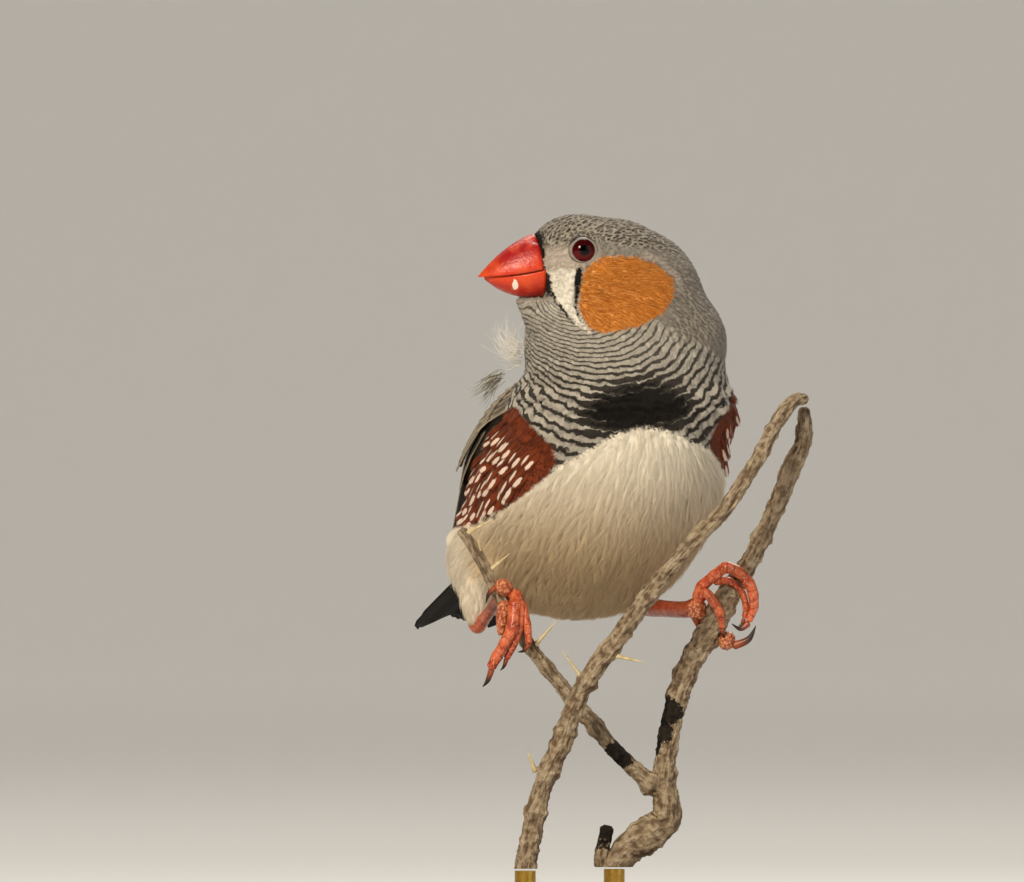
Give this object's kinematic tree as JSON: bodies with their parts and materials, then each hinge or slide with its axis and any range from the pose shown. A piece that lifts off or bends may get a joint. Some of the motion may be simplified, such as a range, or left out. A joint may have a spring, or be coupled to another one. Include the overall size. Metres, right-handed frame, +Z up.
{
  "type": "zebra finch, life-size still model on a thorny twig with a display stand",
  "caption": "Male zebra finch perched astride two dry thorny twigs, head turned to its right, on a plain display stand.",
  "frame": {"origin": "centre of the stand base's flat underside", "axes": "+Z up, -Y towards the viewer that the bird's breast faces, +X to that viewer's right, the way the bill points away from"},
  "size_m": [0.09, 0.0963, 0.1136],
  "materials": {
    "plumage_grey": "soft matt feathers, grey-brown with fine dark bars on the throat and an orange cheek patch",
    "plumage_body": "soft matt feathers, barred grey and black breast, cream belly, chestnut flanks with white spots",
    "plumage_wing": "smooth grey-brown vanes with paler edges",
    "plumage_tail": "brown-black vanes",
    "bill_horn": "glossy red horn, more orange on the lower half",
    "eye": "clear gloss over a dark red iris",
    "leg_skin": "orange scaled skin",
    "claw_horn": "dark brown horn",
    "bark": "dry rough bark with thorns and scorched patches",
    "stand_wood": "oiled dark hardwood",
    "rod_brass": "brushed"
  },
  "bodies": {
    "root": {"torso": "plumage_body", "neck": "plumage_grey", "head": "plumage_grey", "bill_upper": "bill_horn", "bill_lower": "bill_horn", "eye_left": "eye", "eye_right": "eye", "wing_left": "plumage_wing", "wing_right": "plumage_wing", "tail": "plumage_tail", "thigh_left": "plumage_body", "thigh_right": "plumage_body", "leg_left": "leg_skin", "leg_right": "leg_skin", "claw_left_1": "claw_horn", "claw_left_2": "claw_horn", "claw_left_3": "claw_horn", "claw_left_4": "claw_horn", "claw_right_1": "claw_horn", "claw_right_2": "claw_horn", "claw_right_3": "claw_horn", "claw_right_4": "claw_horn", "perch_branch": "bark", "perch_front_twig": "bark", "stand_base": "stand_wood", "stand_rod_back": "rod_brass", "stand_rod_front": "rod_brass"}
  },
  "joints": []
}
